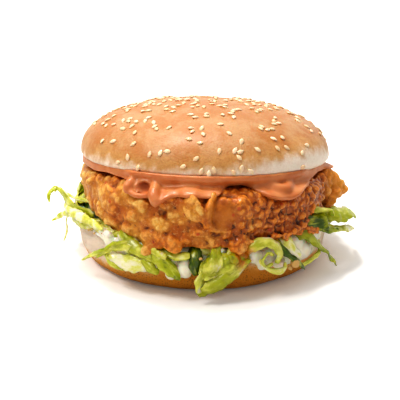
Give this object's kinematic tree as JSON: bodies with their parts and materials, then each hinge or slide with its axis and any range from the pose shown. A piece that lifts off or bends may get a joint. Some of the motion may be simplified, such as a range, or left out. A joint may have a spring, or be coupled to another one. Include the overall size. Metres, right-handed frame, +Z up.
{
  "type": "chicken burger",
  "caption": "Fried chicken burger in a seeded round bun, with shredded lettuce, mayonnaise and pink burger sauce.",
  "frame": {"origin": "centre of the heel's flat underside, where the burger rests on a plate or table", "axes": "+Z up through the layers, -Y towards the front where the sauce and lettuce hang out furthest, +X to the burger's right seen from the front"},
  "size_m": [0.1446, 0.1334, 0.0753],
  "materials": {
    "heel_crust": "soft matt bread crust, paler at the sides",
    "mayonnaise": "wet, smooth, off-white",
    "lettuce": "crisp moist leaf, light green with pale ribs",
    "fried_batter": "lumpy golden-brown batter, slightly oily",
    "pink_sauce": "wet, smooth, salmon pink",
    "crown_crust": "soft golden crust with a faint sheen"
  },
  "bodies": {
    "root": {"bun_heel": "heel_crust", "mayonnaise_layer": "mayonnaise", "lettuce_bed": "lettuce", "chicken_fillet": "fried_batter", "burger_sauce": "pink_sauce", "bun_crown": "crown_crust"}
  },
  "joints": []
}
